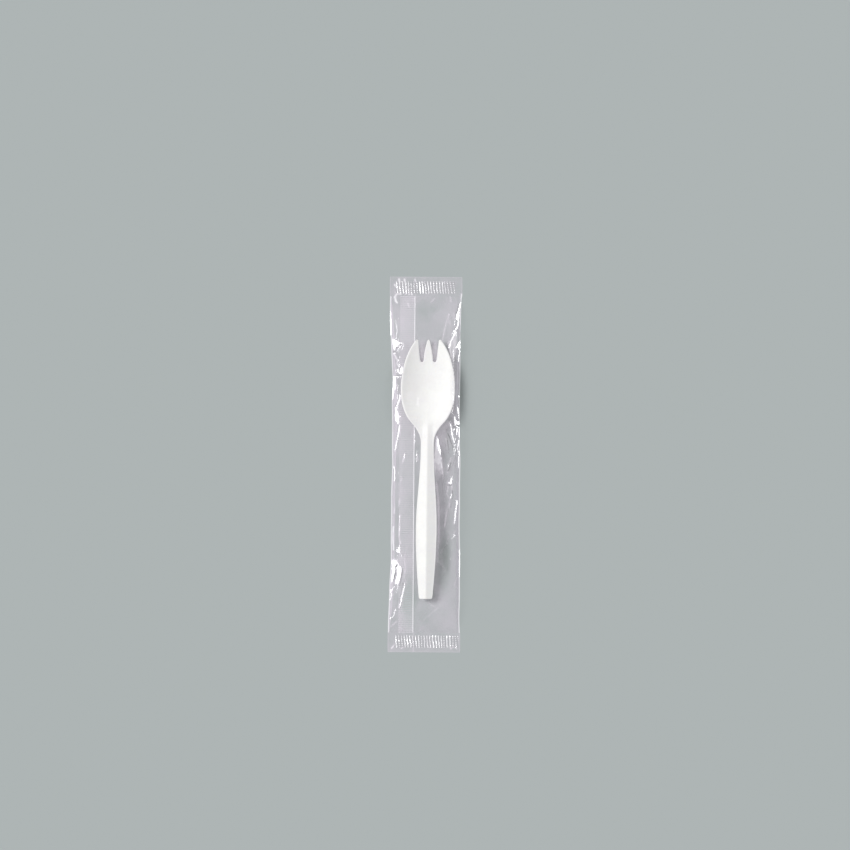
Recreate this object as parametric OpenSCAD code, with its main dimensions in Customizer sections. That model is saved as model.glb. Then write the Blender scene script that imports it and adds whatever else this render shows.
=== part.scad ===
// Individually wrapped spork: one moulded utensil lying loose in a film sleeve.
// The sleeve lies on its back on the XY plane, its length along Y and its front facing +Z.
// The origin is below the middle of the sleeve, on the surface that it rests on.
// All lengths are in millimetres.

/* [Spork bowl] */
// Overall length of the spork, from handle end to tine tips
spork_len = 146; // [125:1:170]
// Width of the bowl at its widest
bowl_w = 30.6; // [26:0.2:36]
// Depth of the bowl below its rim
bowl_depth = 5; // [3:0.25:6]
// Length from the tine tips back to the widest part of the bowl
nose_len = 28.5; // [24:0.5:34]
// Length of the bowl's round heel, from its widest part towards the handle
heel_len = 22.8; // [18:0.2:28]
// Height of the middle tine's tip above the resting plane
tip_rise = 3.6; // [3.5:0.1:6]
// Thickness of the moulded wall
wall = 1.2; // [0.9:0.1:1.6]
// Width of the flat lip that follows the outer edge
lip = 0.8; // [0.5:0.1:1.2]

/* [Tines] */
// Length of the two slots between the tines
slot_len = 12; // [8:0.5:16]
// Width of a slot at its round bottom
slot_w = 1.8; // [1.2:0.1:2.4]
// Distance between the two slots, centre to centre, at their bottoms
slot_pitch = 7; // [5.5:0.1:8.5]
// Distance between the tips of the two outer tines
tip_pitch = 12.6; // [11:0.1:14]
// Width of a tine at its tip
tip_w = 1; // [0.7:0.1:1.4]

/* [Handle] */
// Width of the neck behind the bowl
neck_w = 7.4; // [6:0.2:9]
// Length of the neck, between the bowl's fillets and the handle
neck_len = 4; // [2:0.5:8]
// Width of the handle at its grip
grip_w = 11.8; // [10:0.2:14]
// Distance from the handle's end to the middle of the grip
grip_at = 40; // [30:1:50]
// Width of the handle at its end
end_w = 7.6; // [6:0.2:9]
// Corner radius at the handle's end
end_corner_r = 1; // [0.5:0.1:2]
// Height of the handle's end above the film under it
end_lift = 2.8; // [0:0.1:3.5]
// Distance from the handle's end to where it reaches its full height
full_rise_at = 50; // [40:1:70]
// Height of the ridge above the handle's edges, at the grip
ridge_h = 1.9; // [0.8:0.1:2]
// Rounding of the ridge's crest
ridge_round = 0.25; // [0.1:0.05:0.6]
// Length over which the ridge runs out into the bowl's heel
ridge_end = 6; // [3:0.5:8]
// Height of the ridge at the neck above the resting plane
neck_rise = 8.4; // [6.5:0.1:10]

/* [Film sleeve] */
// Thickness of one ply of film
film = 0.06; // [0.04:0.01:0.12]
// Film left flat beside the bowl, on each side
side_room = 4.1; // [2.6:0.1:6]
// How far each side edge is drawn in where the sleeve is filled
draw_in = 1.1; // [0:0.1:3]
// Distance of the spork from the sleeve's centre line, towards +X
spork_offset = 1.4; // [0:0.1:2]
// Free length of sleeve beyond the tines
head_room = 25; // [16:0.5:36]
// Free length of sleeve beyond the handle's end
foot_room = 18.5; // [10:0.5:30]
// Least room between the spork and the film over it
film_room = 0.4; // [0.3:0.05:1]
// Gap between the spork and the film under it
rest_gap = 0.1; // [0.05:0.05:0.3]
// Width of the fin seal along the back
fin_w = 8.5; // [6:0.5:11]
// Distance of the fin's root from the centre line, towards -X
fin_root = 6; // [2:0.5:8]

/* [End seals] */
// Length of an end seal, from the sleeve to its cut edge
seal_len = 11; // [10.5:0.5:15]
// Length of the crimped band in an end seal
crimp_len = 6.8; // [5:0.2:7.4]
// Flat margin between the crimped band and the cut edge
crimp_margin = 2.6; // [1:0.2:2.8]
// Flat margin between the crimped band and each side edge
crimp_side = 1.2; // [0.5:0.1:4]
// Distance between neighbouring crimp ribs
crimp_pitch = 1.6; // [1:0.1:2.4]
// Height of the crimp ribs
crimp_h = 0.5; // [0.3:0.05:0.8]
// Gap along the fold line between an end seal and the sleeve
fold_gap = 0.3; // [0.2:0.05:0.5]

/* [Hidden] */

// Places along the spork, measured from the handle's end
bowl_at = spork_len - nose_len;
fillet_share = 0.82;
fillet_at = bowl_at - fillet_share*heel_len;
fillet_half = bowl_w/2*sqrt(1 - fillet_share*fillet_share);
fillet_slope = bowl_w/2*fillet_share/heel_len/sqrt(1 - fillet_share*fillet_share);
neck_top_at = fillet_at - 2*(fillet_half - neck_w/2)/fillet_slope;
neck_at = neck_top_at - neck_len;
slot_at = spork_len - slot_len;

// Slopes and curves of the moulding
tip_half = (tip_pitch + tip_w)/2;
nose_axis = nose_len/sqrt(1 - pow(2*tip_half/bowl_w, 2));
ridge_slope = ridge_h/(grip_w/2 - lip);
dish_curve = bowl_depth/pow(bowl_w/2 - lip, 2);
end_rise = end_lift + wall + ridge_slope*(end_w/2 - lip);
rise_len = min(full_rise_at, neck_at);
tip_lift_power = 1.8;
tine_taper_power = 1.6;
slope_step = 0.05;

// Shares of the half width that the grid lines follow on the handle, where there are no slots
handle_inner_share = 0.3;
handle_outer_share = 0.6;

// Grid of the moulding: rows along it, and columns across one tine, slot or half of the middle tine
handle_rows = 22;
heel_rows = 16;
bowl_rows = 8;
tine_rows = 7;
corner_rows = 3;
tine_cols = 4;
slot_cols = 4;
middle_cols = 4;
slot_ease_len = 3*slot_w;

// Room inside the sleeve
half_len = (spork_len + head_room + foot_room)/2;
spork_y = foot_room - half_len;
left_foot = 3*film;
right_foot = film;
spork_z = left_foot + rest_gap;
half_mid = bowl_w/2 + side_room;
half_flat = half_mid + draw_in;
section_power = 3.5;
taper_power = 10;
rim_reach = (bowl_w/2 + spork_offset)/(half_mid - film);
rim_top = rest_gap + bowl_depth + wall + film_room;
rim_need = rim_top/pow(1 - pow(rim_reach, section_power), 1/section_power);
sleeve_h = max(rest_gap + neck_rise + film_room, rim_need);
sleeve_rings = 14;
section_steps = 16;

// End seals
bead_r = 2*film;
fold_y = half_len + fold_gap + bead_r;
seal_end = half_len + seal_len;
crimp_end = seal_end - crimp_margin;
crimp_start = crimp_end - crimp_len;
crimp_count = floor(2*(half_flat - crimp_side)/crimp_pitch);
ply_overlap = 2*film;

$fn = 32;

// Plain helpers

function mix(a, b, t) = a + (b - a)*t;
function clamp01(t) = max(0, min(1, t));
function ease(v, a, b) = let (t = clamp01((v - a)/(b - a))) t*t*(3 - 2*t);
function unit(p) = p/norm(p);
function signed_pow(t, power) = sign(t)*pow(abs(t), power);
function bulge(q) = sqrt(max(0, 1 - pow(2*q - 1, 2)));

// Outline of the spork: half its width at a distance v from the handle's end

function end_corner(v) =
    v >= end_corner_r ? 0 : end_corner_r - sqrt(end_corner_r*end_corner_r - pow(end_corner_r - v, 2));
function handle_half(v) =
    v < grip_at
        ? mix(end_w, grip_w, sin(90*v/grip_at))/2 - end_corner(v)
        : mix(grip_w, neck_w, ease(v, grip_at, neck_at))/2;
function round_half(share) = bowl_w/2*sqrt(max(0, 1 - share*share));
function fillet_curve(v) =
    mix(neck_w/2, fillet_half, pow((v - neck_top_at)/(fillet_at - neck_top_at), 2));
function outer_half(v) =
    v > bowl_at ? round_half((v - bowl_at)/nose_axis)
    : v > fillet_at ? round_half((bowl_at - v)/heel_len)
    : v > neck_top_at ? fillet_curve(v)
    : handle_half(v);

// Edges of the slots: the side of the middle tine, and the inner side of an outer tine

function tine_share(v) = clamp01((v - slot_at)/slot_len);
function middle_half(v) = mix((slot_pitch - slot_w)/2, tip_w/2, pow(tine_share(v), tine_taper_power));
function outer_inside(v) = mix((slot_pitch + slot_w)/2, (tip_pitch - tip_w)/2, tine_share(v));
function inner_line(v) =
    v > slot_at ? middle_half(v)
                : mix(handle_inner_share*outer_half(v), middle_half(v), ease(v, neck_at, slot_at));
function outer_line(v) =
    v > slot_at ? outer_inside(v)
                : mix(handle_outer_share*outer_half(v), outer_inside(v), ease(v, neck_at, slot_at));
function lip_at(v) = min(lip, (outer_half(v) - outer_line(v))/3);

// Upper face of the moulding: its middle line, and its height at a distance x from that line

function middle_rise(v) =
    v < neck_at ? mix(end_rise, neck_rise, sin(90*min(1, v/rise_len)))
    : v < bowl_at ? mix(neck_rise, wall, ease(v, neck_at, bowl_at))
    : mix(wall, tip_rise, pow((v - bowl_at)/nose_len, tip_lift_power));
function dish_share(v) = ease(v, neck_at, fillet_at);
function inside_lip(x, v) = min(abs(x), outer_half(v) - lip_at(v));
function ridge_share(v) = 1 - ease(v, fillet_at - ridge_end/2, fillet_at + ridge_end/2);
function ridge_drop(inside, v) =
    let (in_ridge = v > neck_at ? min(inside, neck_w/2 - lip) : inside)
    ridge_slope*(sqrt(in_ridge*in_ridge + ridge_round*ridge_round) - ridge_round);
function rise_at(inside, v) =
    middle_rise(v) + dish_share(v)*dish_curve*inside*inside - ridge_share(v)*ridge_drop(inside, v);
function face_rise(x, v) = rise_at(inside_lip(x, v), v);
function face_point(x, v) = [x, v, face_rise(x, v)];
function face_normal(x, v) =
    let (
        lower = max(0, v - slope_step),
        upper = min(spork_len, v + slope_step),
        inside = inside_lip(x, v),
        across = [2*slope_step, 0, face_rise(x + slope_step, v) - face_rise(x - slope_step, v)],
        along = [0, upper - lower, rise_at(inside, upper) - rise_at(inside, lower)]
    )
    unit(cross(across, along));

// Grid over the moulding: rows from the handle's end to the tips, columns from -X to +X

function steps(a, b, count) = [for (i = [1:count]) mix(a, b, i/count)];
row_places = concat(
    [0],
    [for (i = [1:corner_rows]) end_corner_r*(1 - cos(90*i/corner_rows))],
    steps(end_corner_r, neck_at, handle_rows),
    steps(neck_at, bowl_at, heel_rows),
    steps(bowl_at, slot_at, bowl_rows),
    steps(slot_at, spork_len, tine_rows)
);
last_row = len(row_places) - 1;
slot_row = last_row - tine_rows;

function tine_places(v) = concat(
    [for (i = [0:tine_cols]) mix(outer_line(v), outer_half(v) - lip_at(v), i/tine_cols)],
    [outer_half(v)]
);
function half_places(v) = concat(
    [for (i = [1:middle_cols/2]) inner_line(v)*2*i/middle_cols],
    [for (i = [1:slot_cols - 1]) mix(inner_line(v), outer_line(v), i/slot_cols)],
    tine_places(v)
);
half_count = middle_cols/2 + slot_cols + tine_cols + 1;
last_col = 2*half_count;
function half_place(v, c) = c == 0 ? 0 : half_places(v)[c - 1];
function place(v, col) =
    let (side = col - half_count) sign(side)*half_place(v, abs(side));

// A slot lies between these two columns, counted from the middle line
slot_from = middle_cols/2;
slot_to = slot_from + slot_cols;

// Share of the way across the slot, or across the tine, that a column is at
function lane_share(col, v) =
    let (c = abs(col - half_count))
    c < slot_from ? 0.5 + 0.5*c/slot_from
    : c <= slot_to ? (c - slot_from)/slot_cols
    : (half_place(v, c) - outer_line(v))/(outer_half(v) - outer_line(v));
function in_slot(col) = let (c = abs(col - half_count)) c >= slot_from && c <= slot_to;

// Round slot bottoms pull the grid back, and round tips pull back the corners of each tine
function slot_pull(col, v) =
    in_slot(col) ? slot_w/2*bulge(lane_share(col, v))*(1 - clamp01((slot_at - v)/slot_ease_len)) : 0;
function tip_pull(col, v) =
    let (
        c = abs(col - half_count),
        q = c == slot_from ? 1 : c == slot_to ? 0 : lane_share(col, v)
    )
    tip_w/2*(1 - bulge(q))*clamp01((v - spork_len + tip_w)/tip_w);
function grid_place(row, col) =
    let (v = row_places[row])
    [place(v, col), v - (v > slot_at ? tip_pull(col, v) : slot_pull(col, v))];

function top_point(p) = face_point(p[0], p[1]);
function under_point(p) = face_point(p[0], p[1]) - wall*face_normal(p[0], p[1]);
grid = [for (row = [0:last_row]) for (col = [0:last_col]) grid_place(row, col)];
grid_size = len(grid);
row_size = last_col + 1;

// A cell of the grid is left out where it lies in a slot
function in_cells(row, col) = row >= 0 && row < last_row && col >= 0 && col < last_col;
function is_slot_cell(row, col) =
    let (c = min(abs(col - half_count), abs(col + 1 - half_count)))
    row >= slot_row && c >= slot_from && c < slot_to;
function filled(row, col) = in_cells(row, col) && !is_slot_cell(row, col);
function at(row, col) = row*row_size + col;

// Two triangles for the corners a, b, c, d of a cell or of a wall
function two(a, b, c, d) = [[a, b, c], [a, c, d]];
function wall_of(a, b) = two(a, b, b + grid_size, a + grid_size);
cell_faces = [
    for (row = [0:last_row - 1]) for (col = [0:last_col - 1]) if (filled(row, col)) let (
        a = at(row, col), b = at(row, col + 1), c = at(row + 1, col + 1), d = at(row + 1, col)
    ) each concat(
        two(a, d, c, b),
        two(a + grid_size, b + grid_size, c + grid_size, d + grid_size),
        filled(row - 1, col) ? [] : wall_of(a, b),
        filled(row + 1, col) ? [] : wall_of(c, d),
        filled(row, col - 1) ? [] : wall_of(d, a),
        filled(row, col + 1) ? [] : wall_of(b, c)
    )
];

// Sleeve: room under the front film and half its width, at a distance y from the middle

function filling(y) = 1 - pow(min(1, abs(y)/half_len), taper_power);
function sleeve_half(y) = half_flat - draw_in*filling(y);
function sleeve_room(y) = sleeve_h*filling(y);
sleeve_places = [for (i = [-sleeve_rings:sleeve_rings]) half_len*sin(90*i/sleeve_rings)];

// One arch of film: the points of its outer or inner line at y, from the right foot to the left one
function arch(y, half, room) = [
    for (i = [0:section_steps]) let (
        turn = 180*i/section_steps,
        foot = i == 0 ? right_foot : i == section_steps ? left_foot : undef,
        rise = left_foot + room*pow(max(0, sin(turn)), 2/section_power)
    ) [half*signed_pow(cos(turn), 2/section_power), y, is_undef(foot) ? rise : foot]
];
function reversed(list) = [for (i = [len(list) - 1:-1:0]) list[i]];
function film_ring(y) = concat(
    arch(y, sleeve_half(y), sleeve_room(y) + film),
    reversed(arch(y, sleeve_half(y) - film, sleeve_room(y)))
);

// Skin over rings of equal size, with a fan of strips at each end
module ring_skin(rings) {
    count = len(rings[0]);
    last = len(rings) - 1;
    half = count/2;
    sides = [
        for (r = [0:last - 1]) for (i = [0:count - 1]) let (j = (i + 1) % count)
            each two(r*count + i, r*count + j, (r + 1)*count + j, (r + 1)*count + i)
    ];
    near_cap = [for (i = [0:half - 2]) each two(i, count - 1 - i, count - 2 - i, i + 1)];
    far_cap = [for (f = near_cap) [for (k = [2:-1:0]) f[k] + last*count]];
    polyhedron([for (ring = rings) each ring], concat(sides, near_cap, far_cap), convexity = 6);
}

// Flat film outline between two lines that are functions of y, chosen by side: -1 is -X, 1 is +X
module back_outline(side) {
    edge = [for (y = sleeve_places) [side*sleeve_half(y), y]];
    polygon(concat(edge, [[-fin_root, half_len], [-fin_root, -half_len]]));
}

// Sub-parts

module spork() {
    color("white")
        translate([spork_offset, spork_y, spork_z])
            polyhedron(
                concat([for (p = grid) top_point(p)], [for (p = grid) under_point(p)]),
                cell_faces,
                convexity = 8
            );
}

module front_film() {
    color("gainsboro", 0.35) ring_skin([for (y = sleeve_places) film_ring(y)]);
}

module back_film_left() {
    color("gainsboro", 0.35)
        translate([0, 0, left_foot - film]) linear_extrude(film) back_outline(-1);
}

module back_film_right() {
    color("gainsboro", 0.35) linear_extrude(right_foot) back_outline(1);
}

module fin_seal() {
    color("lightgray", 0.45)
        translate([-fin_root - fin_w, -half_len, 0]) cube([fin_w, 2*half_len, left_foot - film]);
}

// Zigzag section of a crimped band, two plies thick, with flat margins beside it
module crimp_section() {
    low = bead_r - film;
    first = -crimp_count*crimp_pitch/2;
    high = low + crimp_h - 2*film;
    line = concat(
        [[-half_flat, low]],
        [for (i = [0:2*crimp_count]) [first + i*crimp_pitch/2, i % 2 == 0 ? low : high]],
        [[half_flat, low]]
    );
    polygon(concat(line, reversed([for (p = line) p + [0, 2*film]])));
}

module seal_web(from, to) {
    translate([-half_flat, from, bead_r - film]) cube([2*half_flat, to - from, 2*film]);
}

module end_seal() {
    translate([-half_flat, fold_y, bead_r]) rotate([0, 90, 0]) cylinder(r = bead_r, h = 2*half_flat);
    seal_web(fold_y, crimp_start + ply_overlap);
    translate([0, crimp_end, 0]) rotate([90, 0, 0]) linear_extrude(crimp_len) crimp_section();
    seal_web(crimp_end - ply_overlap, seal_end);
}

module top_end_seal() {
    color("lightgray", 0.5) end_seal();
}

module bottom_end_seal() {
    color("lightgray", 0.5) mirror([0, 1, 0]) end_seal();
}

spork();
front_film();
back_film_left();
back_film_right();
fin_seal();
top_end_seal();
bottom_end_seal();
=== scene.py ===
import math

import bmesh
import bpy
import numpy as np
from bpy.props import FloatProperty, FloatVectorProperty, IntProperty, PointerProperty
from bpy.types import Operator, Panel, PropertyGroup
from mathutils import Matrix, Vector


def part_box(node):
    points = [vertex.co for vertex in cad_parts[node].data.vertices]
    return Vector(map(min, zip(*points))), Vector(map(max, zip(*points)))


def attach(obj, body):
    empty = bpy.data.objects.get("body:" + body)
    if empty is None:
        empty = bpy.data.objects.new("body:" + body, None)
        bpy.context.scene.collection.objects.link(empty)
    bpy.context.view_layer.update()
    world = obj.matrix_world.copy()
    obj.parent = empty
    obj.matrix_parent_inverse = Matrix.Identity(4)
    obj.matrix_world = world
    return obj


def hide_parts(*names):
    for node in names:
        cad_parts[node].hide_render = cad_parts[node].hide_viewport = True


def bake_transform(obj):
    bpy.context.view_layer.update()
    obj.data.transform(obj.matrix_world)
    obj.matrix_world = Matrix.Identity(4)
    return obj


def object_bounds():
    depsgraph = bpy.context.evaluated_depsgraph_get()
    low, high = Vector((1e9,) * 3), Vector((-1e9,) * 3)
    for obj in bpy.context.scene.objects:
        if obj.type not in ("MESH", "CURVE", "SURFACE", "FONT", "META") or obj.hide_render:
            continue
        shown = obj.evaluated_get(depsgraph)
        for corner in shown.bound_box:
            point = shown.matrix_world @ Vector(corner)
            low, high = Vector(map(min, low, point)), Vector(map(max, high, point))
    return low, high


bl_info = {
    "name": "Wrapped spork",
    "version": (1, 0, 0),
    "blender": (4, 5, 0),
    "location": "3D View > Sidebar > Wrapped spork",
    "description": "Dresses a moulded spork and the film sleeve that it is wrapped in",
    "category": "Object",
}

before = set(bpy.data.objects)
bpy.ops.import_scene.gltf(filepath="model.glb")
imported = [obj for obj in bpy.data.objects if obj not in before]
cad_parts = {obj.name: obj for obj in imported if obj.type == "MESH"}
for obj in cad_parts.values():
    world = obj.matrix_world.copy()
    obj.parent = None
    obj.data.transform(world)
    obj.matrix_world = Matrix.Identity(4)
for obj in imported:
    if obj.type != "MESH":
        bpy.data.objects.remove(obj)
CAD_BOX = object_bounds()
SPORK_LOW, SPORK_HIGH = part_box("spork")
FIN_LOW, FIN_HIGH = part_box("fin_seal")
SLEEVE_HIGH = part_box("front_film")[1]
SEAL_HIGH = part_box("top_end_seal")[1]
MM = 0.001


# Sizes and colours that a user would change


def length(name, description, default):
    return FloatProperty(
        name=name, description=description, default=default, unit="LENGTH", subtype="DISTANCE", precision=5
    )


def share(name, description, default):
    return FloatProperty(name=name, description=description, default=default, min=0, max=1, subtype="FACTOR")


def strength(name, description, default):
    return FloatProperty(name=name, description=description, default=default, min=0)


def angle(name, description, degrees):
    return FloatProperty(name=name, description=description, default=math.radians(degrees), subtype="ANGLE")


def colour(name, description, default):
    return FloatVectorProperty(
        name=name, description=description, default=default, size=3, min=0, max=1, subtype="COLOR"
    )


class SporkSizes(PropertyGroup):
    """Sizes and colour of the moulded spork"""

    length: length("Length", "From the handle's end to the tine tips", 146 * MM)
    bowl_width: length("Bowl width", "Width of the bowl at its widest", 30.6 * MM)
    bowl_depth: length("Bowl depth", "Depth of the bowl below its rim", 5 * MM)
    nose: length("Nose", "From the tine tips back to the widest part of the bowl", 28.5 * MM)
    heel: length("Heel", "Length of the bowl's round heel", 22.8 * MM)
    tip_rise: length("Tip rise", "Height of the middle tine's tip", 3.6 * MM)
    wall: length("Wall", "Thickness of the moulding", 1.2 * MM)
    lip: length("Lip", "Width of the flat lip round the edge", 0.8 * MM)
    slot_length: length("Slot length", "Length of the slots between the tines", 11.6 * MM)
    slot_width: length("Slot width", "Width of a slot at its bottom", 1.8 * MM)
    slot_pitch: length("Slot pitch", "Distance between the slots at their bottoms", 7 * MM)
    tip_pitch: length("Tip pitch", "Distance between the outer tips", 12.6 * MM)
    tip_width: length("Tip width", "Width of a tine at its tip", 1 * MM)
    neck_width: length("Neck width", "Width of the neck behind the bowl", 7.4 * MM)
    neck_length: length("Neck length", "Length of the neck", 4 * MM)
    neck_rise: length("Neck rise", "Height of the ridge at the neck", 8.4 * MM)
    grip_width: length("Grip width", "Width of the handle at its grip", 11.8 * MM)
    grip_at: length("Grip place", "From the handle's end to the grip", 40 * MM)
    end_width: length("End width", "Width of the handle at its end", 7.6 * MM)
    end_lift: length("End lift", "Height of the handle's end above the film under it", 2.8 * MM)
    full_rise_at: length("Full rise place", "From the handle's end to its full height", 50 * MM)
    end_corner: length("End corner", "Corner radius at the handle's end", 1 * MM)
    ridge: length("Ridge", "Height of the ridge above the handle's edges", 1.9 * MM)
    crest: length("Crest", "Rounding of the ridge's crest", 0.25 * MM)
    ridge_end: length("Ridge end", "Length over which the ridge runs out into the bowl's heel", 6 * MM)
    shift: length("Shift", "How far the spork lies towards the tines' end", 0.5 * MM)
    turn: angle("Turn", "How far the spork lies turned in the sleeve", -0.3)
    colour: colour("Plastic colour", "Colour of the moulded plastic", (0.93, 0.938, 0.898))


class SleeveSizes(PropertyGroup):
    """Sizes and finish of the film sleeve"""

    draw: share("Draw", "How much the side folds are drawn in where the sleeve is filled", 1)
    flange: length("Side flange", "Width of film pressed flat along each side fold", 0.6 * MM)
    edge_wander: length("Edge wander", "How far the side folds wander", 0.22 * MM)
    crumple: length("Crumple height", "Height of the small crumples in the film", 0.75 * MM)
    fin_line: length("Fin line pitch", "Distance between the fine cross lines of the fin", 1.22 * MM)
    rows: IntProperty(name="Rows", description="Rows along the film", default=560, min=60, max=900)
    columns: IntProperty(name="Columns", description="Columns round the film", default=160, min=40, max=300)
    colour: colour("Film colour", "Colour of the film's haze", (0.875, 0.757, 0.88))
    fin_colour: colour("Fin colour", "Colour of the welded fin's haze", (0.86, 0.84, 0.88))
    haze: share("Haze", "How much one ply veils what is behind it", 0.15)


class SealSizes(PropertyGroup):
    """Sizes of the crimped end seals"""

    crimp: length("Crimp length", "Length of the crimped band", 6.8 * MM)
    margin: length("Margin", "Flat film between the band and the cut edge", 2.6 * MM)
    pitch: length("Rib pitch", "Distance between the crimp ribs", 1.6 * MM)
    row_pitch: length("Row pitch", "Distance between the rows that break the ribs", 1.05 * MM)
    height: length("Rib height", "Height of the crimp ribs", 0.38 * MM)


class StageLooks(PropertyGroup):
    """Floor, light and camera"""

    floor: colour("Floor colour", "Colour of the floor", (0.41, 0.445, 0.44))
    key: strength("Key light", "Strength of the soft light from the left", 2.03)
    rim: strength("Glint lights", "Strength of the small lamps at the sides that the film mirrors", 0.2)
    sky: strength("Sky", "Strength of the light from all round", 0.526)
    across: length("View width", "Width that the camera takes in", 479.1 * MM)
    above: length("View offset", "How far above the sleeve's middle the view is centred", 22.3 * MM)
    distance: length("Camera distance", "Height of the camera", 3.0)
    roll: angle("Camera roll", "Turn of the view", 0.37)


class WrappedSpork(PropertyGroup):
    """All settings of the wrapped spork"""

    spork: PointerProperty(type=SporkSizes)
    sleeve: PointerProperty(type=SleeveSizes)
    seal: PointerProperty(type=SealSizes)
    stage: PointerProperty(type=StageLooks)


# Plain helpers


def mix(a, b, t):
    return a + (b - a) * t


def ease(v, a, b):
    t = np.clip((v - a) / (b - a), 0, 1)
    return t * t * (3 - 2 * t)


def grid_mesh(name, columns, rows, place, leave_out=None):
    """A grid whose points are laid by place(column, row), less the cells that leave_out(column, row) names"""
    bm = bmesh.new()
    bmesh.ops.create_grid(bm, x_segments=columns, y_segments=rows, size=0.5)
    bm.verts.ensure_lookup_table()
    flat = np.array([v.co[:2] for v in bm.verts])
    column = np.rint((flat[:, 0] + 0.5) * columns).astype(int)
    row = np.rint((flat[:, 1] + 0.5) * rows).astype(int)
    if leave_out:
        gone = []
        for face in bm.faces:
            middle = face.calc_center_median()
            if leave_out(int((middle.x + 0.5) * columns), int((middle.y + 0.5) * rows)):
                gone.append(face)
        bmesh.ops.delete(bm, geom=gone, context="FACES_ONLY")
    for vert, co in zip(bm.verts, place(column, row)):
        vert.co = co
    loose = [v for v in bm.verts if not v.link_faces]
    bmesh.ops.delete(bm, geom=loose, context="VERTS")
    wires = [e for e in bm.edges if not e.link_faces]
    bmesh.ops.delete(bm, geom=wires, context="EDGES")
    mesh = bpy.data.meshes.new(name)
    bm.to_mesh(mesh)
    bm.free()
    mesh.shade_smooth()
    piece = bpy.data.objects.new(name, mesh)
    bpy.context.collection.objects.link(piece)
    return piece


def add_mask(piece, name, values):
    attribute = piece.data.attributes.new(name, "FLOAT", "POINT")
    attribute.data.foreach_set("value", np.asarray(values, np.float32))


# Spork outline and upper face, in metres from the handle's end

# Share of the heel's length at which the bowl's outline goes over to the fillet
FILLET_START = 0.82
# Powers of the curves that a slot's inner edge and the nose's rise follow
TINE_CURVE, NOSE_CURVE = 1.6, 1.8
# Where the slots' two edges run on down the handle, as shares of its half width
INNER_SHARE, OUTER_SHARE = 0.3, 0.6


class SporkShape:
    """Outline and upper face of the moulding"""

    def __init__(self, s):
        self.s = s
        self.bowl_at = s.length - s.nose
        width_left = math.sqrt(1 - FILLET_START * FILLET_START)
        self.fillet_at = self.bowl_at - FILLET_START * s.heel
        self.fillet_half = s.bowl_width / 2 * width_left
        slope = s.bowl_width / 2 * FILLET_START / s.heel / width_left
        self.neck_top_at = self.fillet_at - 2 * (self.fillet_half - s.neck_width / 2) / slope
        self.neck_at = self.neck_top_at - s.neck_length
        self.slot_at = s.length - s.slot_length
        tip_half = (s.tip_pitch + s.tip_width) / 2
        self.nose_axis = s.nose / math.sqrt(1 - (2 * tip_half / s.bowl_width) ** 2)
        self.ridge_slope = s.ridge / (s.grip_width / 2 - s.lip)
        self.dish = s.bowl_depth / (s.bowl_width / 2 - s.lip) ** 2
        self.end_rise = s.end_lift + s.wall + self.ridge_slope * (s.end_width / 2 - s.lip)

    def outer_half(self, v):
        s = self.s
        low = mix(s.end_width, s.grip_width, np.sin(np.pi / 2 * np.clip(v / s.grip_at, 0, 1))) / 2
        high = mix(s.grip_width, s.neck_width, ease(v, s.grip_at, self.neck_at)) / 2
        handle = np.where(v < s.grip_at, low, high)
        along = np.clip((v - self.neck_top_at) / (self.fillet_at - self.neck_top_at), 0, 1)
        fillet = mix(s.neck_width / 2, self.fillet_half, along**2)
        axis = np.where(v > self.bowl_at, self.nose_axis, s.heel)
        bowl = s.bowl_width / 2 * np.sqrt(np.clip(1 - ((v - self.bowl_at) / axis) ** 2, 0, 1))
        return np.where(v > self.fillet_at, bowl, np.where(v > self.neck_top_at, fillet, handle))

    def up_slot(self, v):
        return np.clip((v - self.slot_at) / self.s.slot_length, 0, 1)

    def slot_line(self, v, tine, handle_share):
        """An edge of a slot, which runs on through the bowl and down the handle"""
        below = mix(handle_share * self.outer_half(v), tine, ease(v, self.neck_at, self.slot_at))
        return np.where(v > self.slot_at, tine, below)

    def inner_line(self, v):
        s = self.s
        tine = mix((s.slot_pitch - s.slot_width) / 2, s.tip_width / 2, self.up_slot(v) ** TINE_CURVE)
        return self.slot_line(v, tine, INNER_SHARE)

    def outer_line(self, v):
        s = self.s
        tine = mix((s.slot_pitch + s.slot_width) / 2, (s.tip_pitch - s.tip_width) / 2, self.up_slot(v))
        return self.slot_line(v, tine, OUTER_SHARE)

    def lip_at(self, v):
        """Width of the lip, at most a third of the tine that it runs along"""
        return np.minimum(self.s.lip, (self.outer_half(v) - self.outer_line(v)) / 3)

    def rise(self, x, v):
        s = self.s
        inside = np.minimum(np.abs(x), self.outer_half(v) - self.lip_at(v))
        handle = mix(self.end_rise, s.neck_rise, np.sin(np.pi / 2 * np.clip(v / s.full_rise_at, 0, 1)))
        heel = mix(s.neck_rise, s.wall, ease(v, self.neck_at, self.bowl_at))
        nose = mix(s.wall, s.tip_rise, np.clip((v - self.bowl_at) / s.nose, 0, 1) ** NOSE_CURVE)
        middle = np.where(v < self.neck_at, handle, np.where(v < self.bowl_at, heel, nose))
        dish = ease(v, self.neck_at, self.fillet_at)
        in_ridge = np.where(v > self.neck_at, np.minimum(inside, s.neck_width / 2 - s.lip), inside)
        ridge = self.ridge_slope * (np.sqrt(in_ridge**2 + s.crest**2) - s.crest)
        run_out = ease(v, self.fillet_at - s.ridge_end / 2, self.fillet_at + s.ridge_end / 2)
        return middle + dish * self.dish * inside**2 - (1 - run_out) * ridge


# Film: the sleeve's section, its creases and its crumples, in millimetres

HALF_LENGTH = SLEEVE_HIGH[1] / MM
HALF_FLAT = SLEEVE_HIGH[0] / MM
ROOM = SLEEVE_HIGH[2] / MM


# How far the film's edges stay inside the edges of the solids
EDGE_INSET = 0.1
# Power that keeps the sleeve full until close to its ends
FULLNESS = 10
# Power of the sleeve's section: 2 is an ellipse, and more is squarer
SQUARENESS = 3.5
# Steps of the section's outline, over which the film's columns are spread
SECTION_STEPS = 240
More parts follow.
